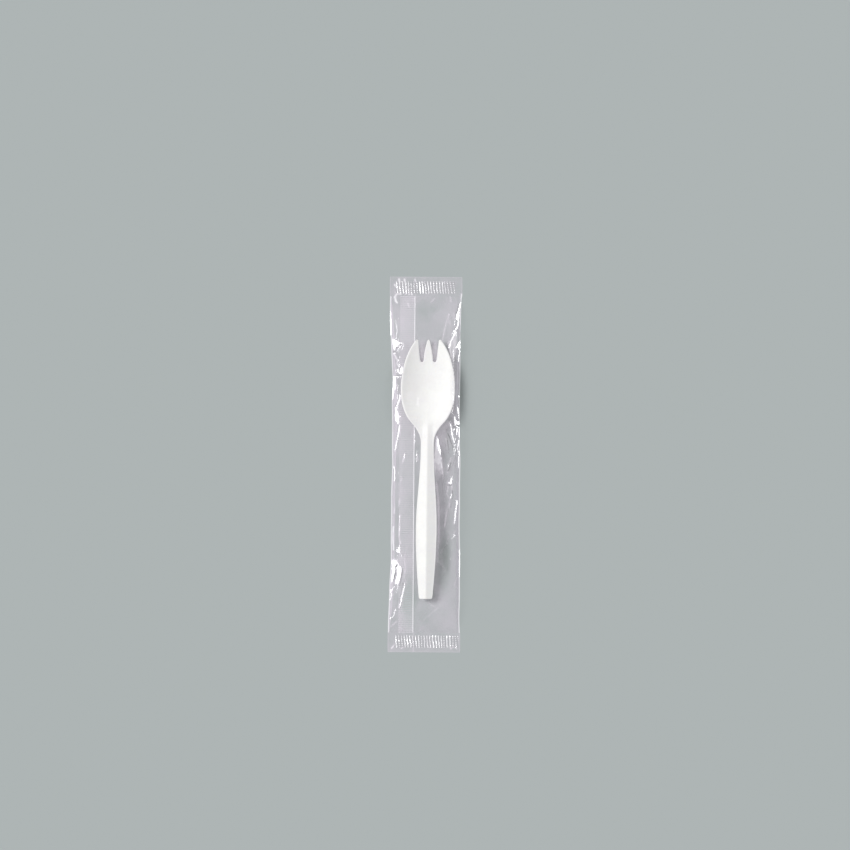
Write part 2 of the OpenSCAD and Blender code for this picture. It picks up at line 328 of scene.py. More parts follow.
# How much closer the columns lie at the sides than at the top, from 0 to 1
SIDE_CROWDING = 0.55
# Least height of the section, at the ends of the sleeve
END_ROOM = 0.05
# Height of the film over the floor this far to the left and to the right of the middle
REST_AT, LEFT_REST, RIGHT_REST = 20, 0.16, 0.08
# How far each side fold is drawn in at places along the sleeve
FOLD_AT = (-97, -85, -70, -55, -38, 0, 20, 35, 45, 55, 65, 76, 86, 97)
LEFT_DRAWN = (0, 0.2, 0.65, 1.05, 1.3, 1.65, 1.65, 1.6, 1.75, 1.2, 0.75, 0.2, 0.1, 0)
RIGHT_DRAWN = (0, 0.25, 0.3, 0.3, 0.3, 0.5, 0.7, 0.8, 0.85, 0.9, 0.9, 0.75, 0.4, 0)
# Waves of a side fold: share, length and phase, and how much of the wander they take up
EDGE_WAVES = ((1, 9, 2), (0.6, 4.1, 1), (0.5, 23, -1))
WAVE_SHARE = 0.6
# Cells along each side of a noise lattice, before it repeats
LATTICE = 64


def filling(y):
    return 1 - np.minimum(1, np.abs(y) / HALF_LENGTH) ** FULLNESS


def side_fold(y, side, sleeve):
    """Distance of a side fold from the middle: drawn in where the sleeve is filled, never quite straight"""
    wander = sum(part * np.sin(y / wave + phase * side) for part, wave, phase in EDGE_WAVES)
    drawn = sleeve.draw * np.interp(y, FOLD_AT, RIGHT_DRAWN if side > 0 else LEFT_DRAWN)
    return HALF_FLAT - EDGE_INSET - drawn + sleeve.edge_wander / MM * (wander - 1) * WAVE_SHARE


def film_section(sleeve, y_marks):
    """Front film before it is creased: its points, and how far round the film each lies from the top"""
    turn = np.linspace(0, np.pi, SECTION_STEPS + 1)
    cos, sin = np.cos(turn), np.clip(np.sin(turn), 0, 1)
    even = np.linspace(0, 1, sleeve.columns + 1)
    spread = mix(even, 0.5 - 0.5 * np.cos(np.pi * even), SIDE_CROWDING)
    base = np.zeros((len(y_marks), sleeve.columns + 1, 3))
    across = np.zeros(base.shape[:2])
    for r, y in enumerate(y_marks):
        right, left = side_fold(y, 1, sleeve), side_fold(y, -1, sleeve)
        reach = np.where(cos > 0, right, left) - sleeve.flange / MM
        px = reach * np.sign(cos) * np.abs(cos) ** (2 / SQUARENESS)
        pz = (ROOM * filling(y) + END_ROOM) * sin ** (2 / SQUARENESS)
        px, pz = np.concatenate([[right], px, [-left]]), np.concatenate([[0], pz, [0]])
        way = np.concatenate([[0], np.cumsum(np.hypot(np.diff(px), np.diff(pz)))])
        at = way[-1] * spread
        x = np.interp(at, way, px)
        rest = mix(LEFT_REST, RIGHT_REST, (x + REST_AT) / (2 * REST_AT))
        base[r] = np.stack([x, np.full_like(x, y), np.interp(at, way, pz) + rest], axis=1)
        across[r] = way[1 + SECTION_STEPS // 2] - at
    return base, across


def side_gap(across):
    """Distance of film points from the nearer side fold, in millimetres"""
    to_left = across - across.min(axis=1, keepdims=True)
    to_right = across.max(axis=1, keepdims=True) - across
    return np.minimum(to_left, to_right) / 2


def lattice_noise(x, y, seed):
    """Smooth noise from -1 to 1 on a lattice of unit cells"""
    table = np.random.default_rng(seed).uniform(-1, 1, (LATTICE, LATTICE))
    i, j = np.floor(x).astype(int), np.floor(y).astype(int)
    u, v = x - i, y - j
    u, v = u * u * (3 - 2 * u), v * v * (3 - 2 * v)
    i, j, next_i, next_j = i % LATTICE, j % LATTICE, (i + 1) % LATTICE, (j + 1) % LATTICE
    return mix(mix(table[i, j], table[next_i, j], u), mix(table[i, next_j], table[next_i, next_j], u), v)


def fold_wave(t):
    """Straight-sided wave from 0 to 1, as a sheet folds"""
    return np.abs(2 * (t - np.floor(t)) - 1)


# Flat facets of the creased film that catch the light, by their corners across and along the sleeve
FACETS = [
    (
        (15.7, -5), (15.2, -7.5), (15.1, -9.5), (14.7, -10.9), (13.1, -10.5), (13.1, -9.7), (14.1, -9.5),
        (14.8, -7),
    ),
    (
        (-18.9, 70.8), (-17.9, 70.5), (-16.7, 69.9), (-15.1, 69), (-14.4, 68.3), (-15.2, 67.1),
        (-16.4, 66.2), (-17.2, 65.5), (-17.3, 64.3), (-17.8, 64.1), (-18.1, 65.5), (-18.4, 66.6),
        (-18.7, 68.8),
    ),
    (
        (-13.2, 55.4), (-12.9, 54), (-13.1, 52.1), (-13.3, 50.9), (-14.4, 50.9), (-15.3, 51.6),
        (-14.4, 52.1), (-14.2, 54),
    ),
    ((-16, 53.4), (-14.9, 53.4), (-14.9, 52.1), (-16, 52.1)),
    (
        (-18.1, 49.7), (-16.8, 49.5), (-16.9, 48.1), (-17, 46.7), (-16.7, 44.6), (-16.9, 42.5),
        (-17.6, 41.1), (-17.9, 39.2), (-18.2, 36.4), (-18.7, 36.4), (-18.6, 41), (-18.3, 45),
    ),
    (
        (-16.8, 32), (-15.8, 30.2), (-15.3, 28.9), (-15, 26.4), (-14.8, 24.3), (-14.4, 21.7), (-15.2, 22),
        (-15.7, 23.8), (-16.8, 24.6), (-17, 27.6), (-16.8, 30.5),
    ),
    ((-14, -44.7), (-13.6, -48.2), (-13.9, -49.9), (-15.9, -49), (-14.7, -46.9)),
    (
        (-18.5, -54.2), (-17.3, -53.5), (-16, -54.2), (-15.7, -55.5), (-16.3, -57.5), (-16.6, -59.8),
        (-17.1, -63.1), (-18, -66.1), (-18.6, -66.1), (-18.3, -63.4), (-18.1, -60.1), (-18.3, -56.8),
    ),
    (
        (-15.7, -57.6), (-14.5, -57), (-13, -57.6), (-12.8, -59.8), (-13.5, -63.4), (-14.2, -66.8),
        (-16.6, -67.3), (-15.8, -64.4), (-15, -60.8), (-15.5, -59.5),
    ),
    ((19.5, 70.1), (19.4, 66.7), (19.1, 64.3), (18.3, 65.2), (17.4, 66.6), (18.1, 68.2), (19.1, 70)),
    ((18.1, 33.5), (18.7, 31.3), (19.1, 27.9), (19, 25.4), (18.7, 26.5), (18.3, 29), (17.9, 31.3)),
    (
        (16.4, 27.5), (16.9, 26.8), (17.1, 25.4), (18.1, 24.5), (19.1, 24.5), (19.2, 22.6), (18.1, 22.6),
        (17.7, 23.2), (17, 22.5), (16.4, 22.8), (16.3, 23.9), (16.6, 24.6), (16.3, 26.2),
    ),
    ((18.8, 39.4), (19.3, 38.2), (18.5, 38.1)),
    ((6.9, 16), (7.6, 13), (8.2, 10.4), (8.8, 8), (8.9, 5.3), (8.3, 6.6), (7.3, 9.2), (6.8, 12)),
    (
        (14, 23.6), (14.4, 23.5), (14.9, 20.5), (15.5, 17.6), (15.9, 15.5), (16.5, 13.6), (16.9, 12.6),
        (16.3, 12.3), (15.8, 13.4), (15.3, 14.8), (14.9, 17.4), (14.4, 20.3),
    ),
    (
        (-10.8, -65), (-10.6, -65.3), (-11.1, -69), (-12, -74), (-12.7, -78.2), (-13.7, -80.7),
        (-14.1, -80.6), (-13.6, -78), (-12.9, -74), (-11.7, -69),
    ),
    (
        (17.6, -19.6), (18.3, -19.9), (18.5, -22), (18, -25), (17.7, -28), (17.3, -31), (16.9, -34),
        (16.6, -34), (16.7, -31), (16.9, -28), (17.2, -25), (17.6, -22),
    ),
    (
        (-14.9, 23), (-14.4, 22), (-14.6, 18.7), (-15, 16.1), (-15.5, 14), (-16, 11.5), (-16.4, 9),
        (-16.7, 7.8), (-17.1, 8.2), (-16.7, 10.5), (-16.1, 13.5), (-15.6, 16.1), (-15.2, 18.7),
    ),
]
# Slopes of a facet, towards its side of the sleeve and towards the tines
FACET_LEAN = math.tan(math.radians(28))
FACET_TILT = 0.18 * FACET_LEAN

# Narrow folds that catch the light: half width, then points across and along the sleeve
GLINTS = [
    (0.21, (-4.3, 38.2), (-4.3, 32.6)),
    (0.16, (-4.6, 27), (-4.8, 22.5)),
    (0.22, (-5.9, 20.5), (-5.9, 11)),
    (0.2, (-4.7, 7.8), (-4.6, 1.7)),
    (0.26, (-14.2, 68.3), (-12.6, 67.8), (-12.3, 66.9), (-12.8, 65.8), (-13.3, 64.4)),
    (0.24, (-13.3, 67.3), (-14.6, 66.2), (-15.6, 64.8), (-16, 63.8)),
    (0.17, (-14, 66.4), (-14.7, 65.4)),
    (0.19, (-18.3, 62.6), (-16.8, 62.5)),
    (0.19, (-14.8, 60.7), (-14.6, 60)),
    (0.19, (-16.8, 49.6), (-15, 49.2), (-13.5, 49.3)),
    (0.3, (-14.3, 39.2), (-14.4, 37.1), (-15.2, 35), (-16, 33), (-16.5, 31.8)),
    (0.26, (-11.5, 5.8), (-11.6, 2.8)),
    (0.21, (-17.6, -0.8), (-17, -4), (-17.1, -9.5)),
    (0.12, (-14.2, -29.5), (-14.1, -39.5)),
    (0.17, (-13.7, -49.2), (-12.8, -51.5), (-11.8, -54)),
    (0.26, (-16, -54.2), (-14.9, -55.6), (-14.4, -57)),
    (0.26, (-16.8, -68.7), (-18.3, -70.7), (-19, -71.4)),
    (0.21, (-14.7, -67.4), (-15.4, -71), (-15.8, -72)),
    (0.21, (-19, -70.9), (-18.4, -73.3), (-18.8, -75), (-19.2, -76.3)),
    (0.31, (-16, -81.6), (-16.6, -83.3), (-17.3, -85.6), (-19, -86.7)),
    (0.3, (-20, 86), (-19.8, 80), (-19.6, 73)),
    (0.34, (20.1, 94.4), (19.7, 91.8), (19.1, 89.7), (18.6, 87.4), (18.2, 86.2)),
    (0.26, (18.2, 86.2), (17.4, 84.1), (17.2, 81.8)),
    (0.3, (18.4, 86), (18.5, 83.1), (18.2, 81)),
    (0.51, (18.2, 81.6), (18, 79), (17.5, 77.2)),
    (0.42, (17.5, 77.2), (16.4, 75.6), (16, 73.8), (15.6, 72.6)),
    (0.24, (15.6, 72.4), (14.9, 71.3), (14.4, 70.3), (13.9, 68.7), (13.6, 67.2)),
    (0.38, (13.4, 67), (13, 66)),
    (0.17, (16.2, 81), (16, 78.5)),
    (0.21, (19.3, 64.5), (19, 62.3), (18.6, 61), (18.3, 58)),
    (0.17, (17.3, 66.7), (17, 65.4)),
    (0.26, (17.1, 22.2), (18, 21.4), (19.1, 20.8)),
    (0.34, (18, 20.3), (18.1, 18.6)),
    (0.17, (17.6, 20.3), (17.7, 16.8)),
    (0.26, (19.2, 19.6), (19.3, 15.5)),
    (0.21, (17.1, 11.5), (16.4, 10.6)),
    (0.26, (19, 13.8), (18.5, 11), (18.1, 8.5)),
    (0.26, (18.2, 7), (19, 7.8), (19.3, 5.4)),
    (0.21, (17.3, 9), (16.6, 7), (16.4, 6.2)),
    (0.24, (18.8, 4.8), (18.8, -1.7)),
    (0.26, (13.2, 0.4), (12.9, -1.2)),
    (0.24, (15, -16.9), (14.6, -18.6)),
    (0.26, (17.1, -39.8), (16.1, -40.7), (15.1, -41.7)),
    (0.18, (19.75, -48), (19.8, -63)),
]

# Creases painted dark, as painted shade and dark reflections in the folds: strength, then points across and
# along the sleeve
PAINTED_DARK_CREASES = [
    (0.7, (12.9, 17.4), (13.6, 15.6), (14.4, 13.2), (15.1, 11.2), (15.7, 9.8), (16.1, 8)),
    (0.6, (12.5, 13.7), (12.9, 10.9), (13.2, 8), (13.3, 6.5)),
    (0.6, (14.3, 1), (14, -1.8), (13, -3.5)),
    (0.5, (15.5, -14.5), (15.8, -18), (15.3, -21.2), (14.6, -24)),
    (0.4, (11.8, -14.5), (11.6, -19)),
    (0.4, (12, -11), (12.4, -14)),
    (0.35, (17.7, 4.1), (17.2, -1.2), (17, -4.6)),
    (0.35, (17.2, 4.8), (16.1, 1.8), (14.9, -2), (14.2, -4.2)),
    (0.3, (10.7, 14.2), (11.7, 9.3), (12.1, 5.5)),
    (0.4, (11.2, -5.7), (10.5, -8.7), (9.9, -12), (9.8, -16.2), (10.4, -20)),
    (0.45, (12.9, -11.4), (14.7, -11.7)),
    (0.3, (13.3, -24.9), (12.4, -31.3)),
    (0.3, (16.6, -24.9), (15.9, -30.5)),
    (0.4, (10, 5), (10.2, -1)),
    (0.3, (11.5, 20), (11.8, 10)),
    (0.4, (12.2, 20), (12.6, 14)),
    (0.4, (16.6, 21), (17.3, 13)),
    (0.5, (17, 9), (17.5, 6.8)),
    (0.6, (18, 22.1), (18.9, 22)),
    (0.4, (18.6, 90.5), (17.9, 87.5), (16.9, 84.6)),
    (0.3, (16.4, 77.4), (15.4, 73.9)),
    (0.5, (-18.2, 63.3), (-17, 63.3)),
    (0.5, (-13.8, 67.9), (-14.9, 66.9), (-16.4, 65.6)),
    (0.4, (-14.6, 53.4), (-14.7, 52.1)),
    (0.4, (-16.2, 49.9), (-14.2, 49.9)),
    (0.6, (-15.6, -55.9), (-16, -58.5), (-16.3, -61.5), (-17, -65)),
    (0.5, (-12.4, -58.5), (-12.5, -61), (-13.1, -65), (-13.7, -67.9)),
    (0.4, (-12.1, -66.5), (-12.9, -72.5), (-13.9, -77.5)),
    (0.2, (3, -80), (-1, -85), (-4, -89)),
]

# Fine creases whitened in the veil, partly crease whitening and partly painted highlights: strength, then
# points across and along the sleeve
STREAKS = [
    (
        0.9, (-17.6, 101.1), (-15.7, 99.3), (-14.4, 96.2), (-16.5, 96.2), (-17.5, 94.4), (-17, 92.1),
        (-16.3, 91.2),
    ),
    (0.9, (20.2, 96), (19.4, 90.6), (18.2, 86.4), (17.5, 82.4)),
    (0.35, (13, 84.7), (11.4, 79.8), (10.1, 73.7), (9.3, 69.6)),
    (0.25, (4.6, 93.7), (3, 91.6)),
    (0.8, (-15.3, 104.4), (-14.4, 96.2)),
    (0.9, (-12.2, 104.4), (-11.6, 99.3), (-11.4, 96.2)),
    (0.7, (-10.4, 100.8), (-9.6, 95.9)),
    (0.7, (-8.3, 99.3), (-8, 95.8)),
    (0.6, (-6.3, 104.4), (-5.9, 102.6)),
    (0.5, (-18.2, -103.6), (-16, -101)),
    (0.5, (-12.5, -103.6), (-11.4, -102.8)),
    (0.6, (15.2, -103.6), (16.8, -102), (18.4, -103.6)),
    (0.4, (-10.3, 90.8), (-9.5, 88.8)),
    (0.25, (13.7, 94.5), (14, 92.1)),
    (0.3, (-15.5, 58.5), (-16.2, 56.8), (-15.2, 55.2)),
    (0.4, (-18.3, 62.1), (-17, 61.1), (-15.7, 58)),
    (0.3, (14.4, 69.1), (13.7, 64.4), (14.2, 60.9)),
    (0.5, (9.2, 3.8), (9.6, -1.5)),
    (0.3, (9.6, -1.5), (10, -5)),
    (0.15, (10, -5), (10.3, -7.6)),
    (0.35, (14.9, -11), (15.3, -14.5), (14.5, -18.7), (13.9, -21.5), (13.9, -23.8)),
    (0.35, (13.2, -11.3), (12.4, -16.7), (13.4, -17.7)),
    (0.3, (11.7, 14.6), (13, 10.5), (13.3, 6.4)),
    (0.4, (17.2, -18.8), (19.4, -17.6)),
    (0.4, (14.1, -1.8), (12.6, -4.4)),
    (0.4, (-12.6, 1.3), (-11.5, 5.9)),
    (0.25, (-13.3, -6.9), (-13.5, -10)),
    (0.35, (-14.2, -19.8), (-15, -23.9)),
    (0.5, (-13.8, -28.5), (-14.2, -34.1)),
    (0.3, (-16.8, -22.3), (-17.2, -27.4)),
    (0.35, (-4.5, 5.9), (-4.1, 2.3)),
    (0.3, (5.1, 3.3), (5.8, -3)),
    (0.15, (5.8, -3), (6.5, -8.5)),
    (0.3, (14.6, 3.8), (13.1, -1.8)),
    (0.3, (11.9, -16.2), (14.2, -19)),
    (0.6, (-17.7, -35.1), (-17.9, -41.8), (-17.4, -47.9)),
    (0.5, (-14.1, -34.1), (-14.3, -40.8), (-13.5, -44.4)),
    (0.3, (-9.7, -46.4), (-10.9, -49.5), (-11.2, -54.6), (-10.6, -58.2), (-11.1, -62.8)),
    (0.2, (2.6, -77.7), (5.6, -79.7)),
    (0.12, (9.7, -78.7), (4.6, -83.3), (-1, -88.4)),
    (0.12, (-5.1, -85.3), (-1.5, -88.4)),
    (0.16, (8.6, -54.6), (10.6, -57.2), (10.9, -59.4)),
    (0.12, (8.1, -60), (10.6, -60.4)),
    (0.35, (17.2, -37.2), (16.7, -39.7)),
    (0.25, (12.7, -24.9), (11.7, -31.3), (11.3, -34.7)),
    (0.3, (18.4, -63.3), (17.3, -66.9), (17.9, -69)),
    (0.3, (-18.6, -91.5), (-15.3, -88.4)),
    (0.25, (9.6, -49.5), (12.6, -44.4), (13.6, -40.3)),
    (0.25, (-0.4, -91), (-2.5, -93.6)),
    (0.3, (-13.7, -91), (-12.7, -93.6)),
]

# Places where the film is most crumpled: centre across and along, then reach across and along
BUSY = [
    (14, 5, 7, 34),
    (-16, 60, 6, 15),
    (-15.5, -62, 6, 15),
    (16.5, 76, 5, 15),
    (-16, 25, 4, 24),
    (10, -52, 6, 14),
]

# Broad places where the film is clearer or hazier, partly haze and partly painted light and shade: hazier
# film lifts shadowed places such as the slots and the right of the bowl, clearer film deepens the handle's
# shadow; change, centre, then reach across and along
ZONES = [
    (-0.2, 10.5, -55, 5, 20),
    (-0.1, 13, -49, 3.2, 12),
    (-0.07, 1.4, -45, 6, 34),
    (0.02, 9, -15, 4, 16),
    (0.1, 9, 16, 4.5, 12),
    (0.28, 17.5, 50, 4, 26),
    (0.1, 12, 17, 6, 9),
    (0.07, 18.6, -72, 3.5, 28),
    (0.05, -17.4, 20, 3, 14),
    (0.34, -1.8, 63, 2, 8),
    (0.34, 5.2, 63, 2, 8),
    (0.03, -17.5, 80, 4.5, 16),
    (0.07, 14, 84, 9, 14),
    (0.05, -14, 84, 8, 16),
    (-0.05, 1, 88, 7, 12),
    (0.11, 12, -86, 9, 10),
    (-0.06, 0, -85, 5, 7),
    (-0.16, -9, -76, 6.5, 18),
    (-0.04, -9, -15, 6, 34),
]

# Places where the veil is painted dark as the handle's shadow on the film, in the same form
PAINTED_SHADOW_ZONES = [(0.4, 10.5, -55, 5, 20), (0.2, 13, -49, 3.2, 12)]

# Patches of hazier film with clear edges, partly painted light over the spork's shadow beside the neck and
# right of the tines: change, then corners
PATCHES = [
    (0.2, (6.2, 16.2), (6.9, 16.2), (7.8, 10.4), (8.9, 5.4), (9.1, 1), (7.4, 0), (5.8, 1.5), (5.2, 6)),
    (
        0.17, (6.2, 16.2), (6.9, 16.2), (7.8, 10.4), (8.9, 5.4), (9.4, 0), (9.3, -2.5), (7.6, -3.5),
        (6, -1.5), (5.2, 6),
    ),
    (
        0.15, (6.2, 16.2), (6.9, 16.2), (7.8, 10.4), (8.9, 5.4), (9.4, 0), (9.6, -4.5), (8.4, -7),
        (7.2, -9), (6.2, -5), (5.2, 6),
    ),
    (
        0.22, (6.2, -8), (7.4, -12), (8.2, -20), (8.5, -30), (8.5, -40), (8.1, -50), (7.6, -55), (6.8, -55),
        (7.2, -48), (7.3, -38), (7.3, -30), (6.9, -20), (6.2, -12),
    ),
    (
        0.45, (11.9, 68.6), (15.2, 72.4), (17, 75.5), (18.5, 73), (18.8, 70.5), (17.6, 66.5), (17, 62),
        (14.9, 58), (13.6, 62.5),
    ),
]


# Where masks fade out: zones and busy places as shares of their reach, patches and facets from their edge
ZONE_FADE, BUSY_FADE = (0.3, 1.2), (0.45, 1.15)
PATCH_FADE, FACET_FADE = (-0.5, 0.4), (-0.1, 0.35)
# Half width of a fine crease: the least, and how much more at full strength
CREASE_HALF, CREASE_MORE = 0.32, 0.25
# How much the whitened creases and the painted dark creases come and go along their length
STREAK_BREAKS, DARK_BREAKS = 0.6, 0.25
# Width over which a bright fold ends, and how ragged its edge is
GLINT_FADE, GLINT_RAGGED = 0.7, 0.07
# Share of the crumples that is left outside the busy places
CALM_SHARE = 0.1
# Bend at which a fold starts to whiten, the further bend that whitens it fully, and how white that is
BEND_START, BEND_SPAN, BEND_MOST = 0.1, 0.25, 0.7
# Gap to start a search for the least one
FAR = 1e9


def line_gap(x, y, points):
    """Distance of each place from a line through points"""
    gap = np.full(x.shape, FAR)
    for (x0, y0), (x1, y1) in zip(points, points[1:]):
        run, rise = x1 - x0, y1 - y0
        t = np.clip(((x - x0) * run + (y - y0) * rise) / (run**2 + rise**2), 0, 1)
        gap = np.minimum(gap, np.hypot(x - x0 - t * run, y - y0 - t * rise))
    return gap


def outside_gap(x, y, corners):
    """Distance of each place from a polygon, negative inside it"""
    inside = np.zeros(x.shape, bool)
    ring = [*corners, corners[0]]
    for (x0, y0), (x1, y1) in zip(ring, ring[1:]):
        inside ^= ((y0 > y) != (y1 > y)) & (x < (x1 - x0) * (y - y0) / (y1 - y0 + 1e-12) + x0)
    gap = line_gap(x, y, ring)
    return np.where(inside, -gap, gap)


def zone_field(x, y, zones):
    """Sum of broad round zones, each fading out from its centre"""
    change = np.zeros_like(x)
    for amount, mid_x, mid_y, reach_x, reach_y in zones:
        change += amount * (1 - ease(np.hypot((x - mid_x) / reach_x, (y - mid_y) / reach_y), *ZONE_FADE))
    return change


def patch_field(x, y):
    """How much hazier the patches make the film"""
    change = np.zeros_like(x)
    for amount, *corners in PATCHES:
        change += amount * (1 - ease(outside_gap(x, y, corners), *PATCH_FADE))
    return change


def streak_field(x, y, lines, breaks):
    """How near each place is to a fine crease, from 0 to its strength, with its strength broken up"""
    mask = np.zeros_like(x)
    for amount, *points in lines:
        half = CREASE_HALF + CREASE_MORE * amount
        mask = np.maximum(mask, amount * np.exp(-((line_gap(x, y, points) / half) ** 2)))
    return mask * np.clip(0.85 + breaks * lattice_noise(x / 1.7 + 9, y / 2.3 + 4, 17), 0.2, 1.2)


def shine_field(x, y):
    """Where the film leans to the light: over half in a facet or bright fold, with the sign of its side"""
    gap = np.full(x.shape, FAR)
    for corners in FACETS:
        gap = np.minimum(gap, outside_gap(x, y, corners))
    for half, *points in GLINTS:
        gap = np.minimum(gap, line_gap(x, y, points) - half)
    gap += GLINT_RAGGED * lattice_noise(x / 0.8 + 3, y / 1.1 + 8, 51)
    return np.sign(x) * np.clip(0.5 - gap / GLINT_FADE, 0, 1)


def facet_field(base):
    """Lays the facets into the sheet: how far each point lifts, and how much of it is facet"""
    x, y, z = base[:, :, 0], base[:, :, 1], base[:, :, 2]
    lift, mask = np.zeros_like(x), np.zeros_like(x)
    for corners in FACETS:
        corner = np.array(corners)
        mid_x, mid_y = corner.mean(axis=0)
        reach_x, reach_y = np.ptp(corner, axis=0) + 1
        near = (np.abs(x - mid_x) < reach_x) & (np.abs(y - mid_y) < reach_y)
        if not near.any():
            continue
        px, py = x[near] - mid_x, y[near] - mid_y
        share_in = 1 - ease(outside_gap(x[near], y[near], corners), *FACET_FADE)
        middle = z[near][np.argmin(px**2 + py**2)]
        plane = middle - math.copysign(1, mid_x) * FACET_LEAN * px - FACET_TILT * py
        lift[near] = mix(lift[near], plane - z[near], share_in)
        mask[near] = np.maximum(mask[near], share_in)
    return lift, mask


def crumple_field(across, along, x):
    """Straight-sided crumples: strong in the busy places, faint elsewhere"""
    bend = 1.6 * lattice_noise(across / 11, along / 17, 3)
    cross_bend = 1.4 * lattice_noise(across / 9 + 7, along / 12 + 3, 5)
    waves = 0
    for height, to_side, to_end, wave, shift in (
        (0.42, 0.94, 0.10, 6.3, bend),
        (0.34, 0.62, 0.30, 5.1, cross_bend),
        (0.30, 0.66, -0.26, 4.7, -bend),
        (0.20, 0.20, 0.50, 5.9, cross_bend),
    ):
        waves = waves + height * fold_wave((across * to_side + along * to_end) / wave + shift)
    patches = np.clip(0.55 + 0.9 * lattice_noise(across / 7, along / 15, 11), 0.12, 1)
    busy = np.full_like(x, CALM_SHARE)
    for mid_x, mid_y, reach_x, reach_y in BUSY:
        near = np.hypot((x - mid_x) / reach_x, (along - mid_y) / reach_y)
        busy = np.maximum(busy, 1 - (1 - CALM_SHARE) * ease(near, *BUSY_FADE))
    return waves * patches * busy


def bend_mask(points):
    """How white the sheet's bends are at each point"""
    bend = np.zeros(points.shape[:2])
    for axis in (0, 1):
        slope = np.gradient(points, axis=axis)
        second = np.linalg.norm(np.gradient(slope, axis=axis), axis=2)
        bend = np.maximum(bend, second / np.maximum(np.linalg.norm(slope, axis=2), 1e-6))
    return np.clip((bend - BEND_START) / BEND_SPAN, 0, 1) * BEND_MOST


# Materials


# How much duller the plastic is where it is cloudy
CLOUDED = 0.985
# How far the veil of one ply varies, as shares of its haze
VEIL_RANGE = (0.45, 1.55)
# How much film seen edge on, the fin's cross lines and the painted shade of dark creases and shadows add to
# the veil
EDGE_ON_VEIL, LINE_VEIL, DARK_VEIL = 0.35, 0.72, 0.85
# Share of the veil that light passes on its way to what is wrapped
LIGHT_PASSES = 0.85
# Colour of whitened creases and painted highlights, and grey of painted shade
CREASE_AND_HIGHLIGHT_WHITE, PAINTED_SHADE_GREY = (0.95, 0.95, 0.97, 1), (0.2, 0.2, 0.21, 1)
# A wave texture of scale 1 repeats after this length
WAVE_LENGTH = math.pi / 10
# Haze of the welded fin and of the end seals, as shares of one ply's
FIN_HAZE, SEAL_HAZE = 0.3, 1.6


def new_material(name):
    material = bpy.data.materials.new(name)
    material.use_nodes = True
    return material, material.node_tree, material.node_tree.nodes["Principled BSDF"]


def feed(tree, node, inputs):
    """Links each named input to another node's output, or sets it to a plain value"""
    for key, value in inputs.items():
        if isinstance(value, bpy.types.NodeSocket):
            tree.links.new(value, node.inputs[key])
        else:
            node.inputs[key].default_value = value


def add(tree, kind, inputs, **settings):
    """Adds a node, with its settings made before its inputs are fed"""
    node = tree.nodes.new(kind)
    for key, value in settings.items():
        setattr(node, key, value)
    feed(tree, node, inputs)
    return node


def reckon(tree, operation, *values, clamp=False):
    node = add(tree, "ShaderNodeMath", dict(enumerate(values)), operation=operation, use_clamp=clamp)
    return node.outputs["Value"]


def blend(tree, kind, factor, a, b):
    return add(tree, "ShaderNodeMix", {"Factor": factor, "A": a, "B": b}, data_type=kind).outputs["Result"]


def read_mask(tree, name):
    return add(tree, "ShaderNodeAttribute", {}, attribute_name=name).outputs["Fac"]


def mottle_group():
    """Soft cloudy change of a value, with a fine grain height, for moulded plastic and film alike"""
    group = bpy.data.node_groups.new("Soft mottle", "ShaderNodeTree")
    face = group.interface
    for name, default in (("Cloud size", 300.0), ("Grain size", 4000.0), ("Low", 0.0), ("High", 1.0)):
        face.new_socket(name, in_out="INPUT", socket_type="NodeSocketFloat").default_value = default
    for name in ("Value", "Grain"):
        face.new_socket(name, in_out="OUTPUT", socket_type="NodeSocketFloat")
    given = group.nodes.new("NodeGroupInput").outputs
    place = group.nodes.new("ShaderNodeTexCoord").outputs["Object"]
    noise = "ShaderNodeTexNoise"
    cloud = {"Vector": place, "Scale": given["Cloud size"], "Detail": 3.0, "Roughness": 0.55}
    grain = {"Vector": place, "Scale": given["Grain size"], "Detail": 2.0, "Roughness": 0.6}
    cloud, grain = (add(group, noise, inputs).outputs["Fac"] for inputs in (cloud, grain))
    spread = {"Value": cloud, "From Min": 0.3, "From Max": 0.7}
    spread.update({"To Min": given["Low"], "To Max": given["High"]})
    value = add(group, "ShaderNodeMapRange", spread).outputs["Result"]
    add(group, "NodeGroupOutput", {"Value": value, "Grain": grain})
    return group


def place_mottle(tree, cloud, grain, low, high):
    group = bpy.data.node_groups.get("Soft mottle") or mottle_group()
    values = {"Cloud size": cloud, "Grain size": grain, "Low": low, "High": high}
    return add(tree, "ShaderNodeGroup", values, node_tree=group).outputs


def plastic_material(s):
    """White moulded plastic: a faint cloudiness, a fine grain and a soft gloss"""
    material, tree, shader = new_material("White plastic")
    tone = place_mottle(tree, 90.0, 5200.0, 0.0, 1.0)
    gloss = place_mottle(tree, 260.0, 2600.0, 0.30, 0.40)
    clouded = (*[c * CLOUDED for c in s.colour], 1)
    bump = add(tree, "ShaderNodeBump", {"Height": tone["Grain"], "Strength": 0.10, "Distance": 0.04 * MM})
    inputs = {
        "Base Color": blend(tree, "RGBA", tone["Value"], clouded, (*s.colour, 1)),
        "Roughness": gloss["Value"],
        "Normal": bump.outputs["Normal"],
        "IOR": 1.49,
        "Subsurface Weight": 0.12,
        "Subsurface Radius": (1.0, 0.95, 0.85),
        "Subsurface Scale": 1.2 * MM,
    }
    feed(tree, shader, inputs)
    return material


def leaning_normal(tree, ripple):
    """The film's normal, turned to its own side where the shine mask has a facet or a bright fold"""
    shine = read_mask(tree, "shine")
    middle = {"Value": reckon(tree, "ABSOLUTE", shine), "From Min": 0.42, "From Max": 0.58}
    inside = add(tree, "ShaderNodeMapRange", middle, interpolation_type="SMOOTHSTEP")
    across = reckon(tree, "MULTIPLY", reckon(tree, "SIGN", shine), FACET_LEAN)
    lean = add(tree, "ShaderNodeCombineXYZ", {"X": across, "Y": FACET_TILT, "Z": 1.0})
    turn = blend(tree, "VECTOR", inside.outputs["Result"], ripple.outputs["Normal"], lean.outputs["Vector"])
    return add(tree, "ShaderNodeVectorMath", {0: turn}, operation="NORMALIZE").outputs["Vector"]


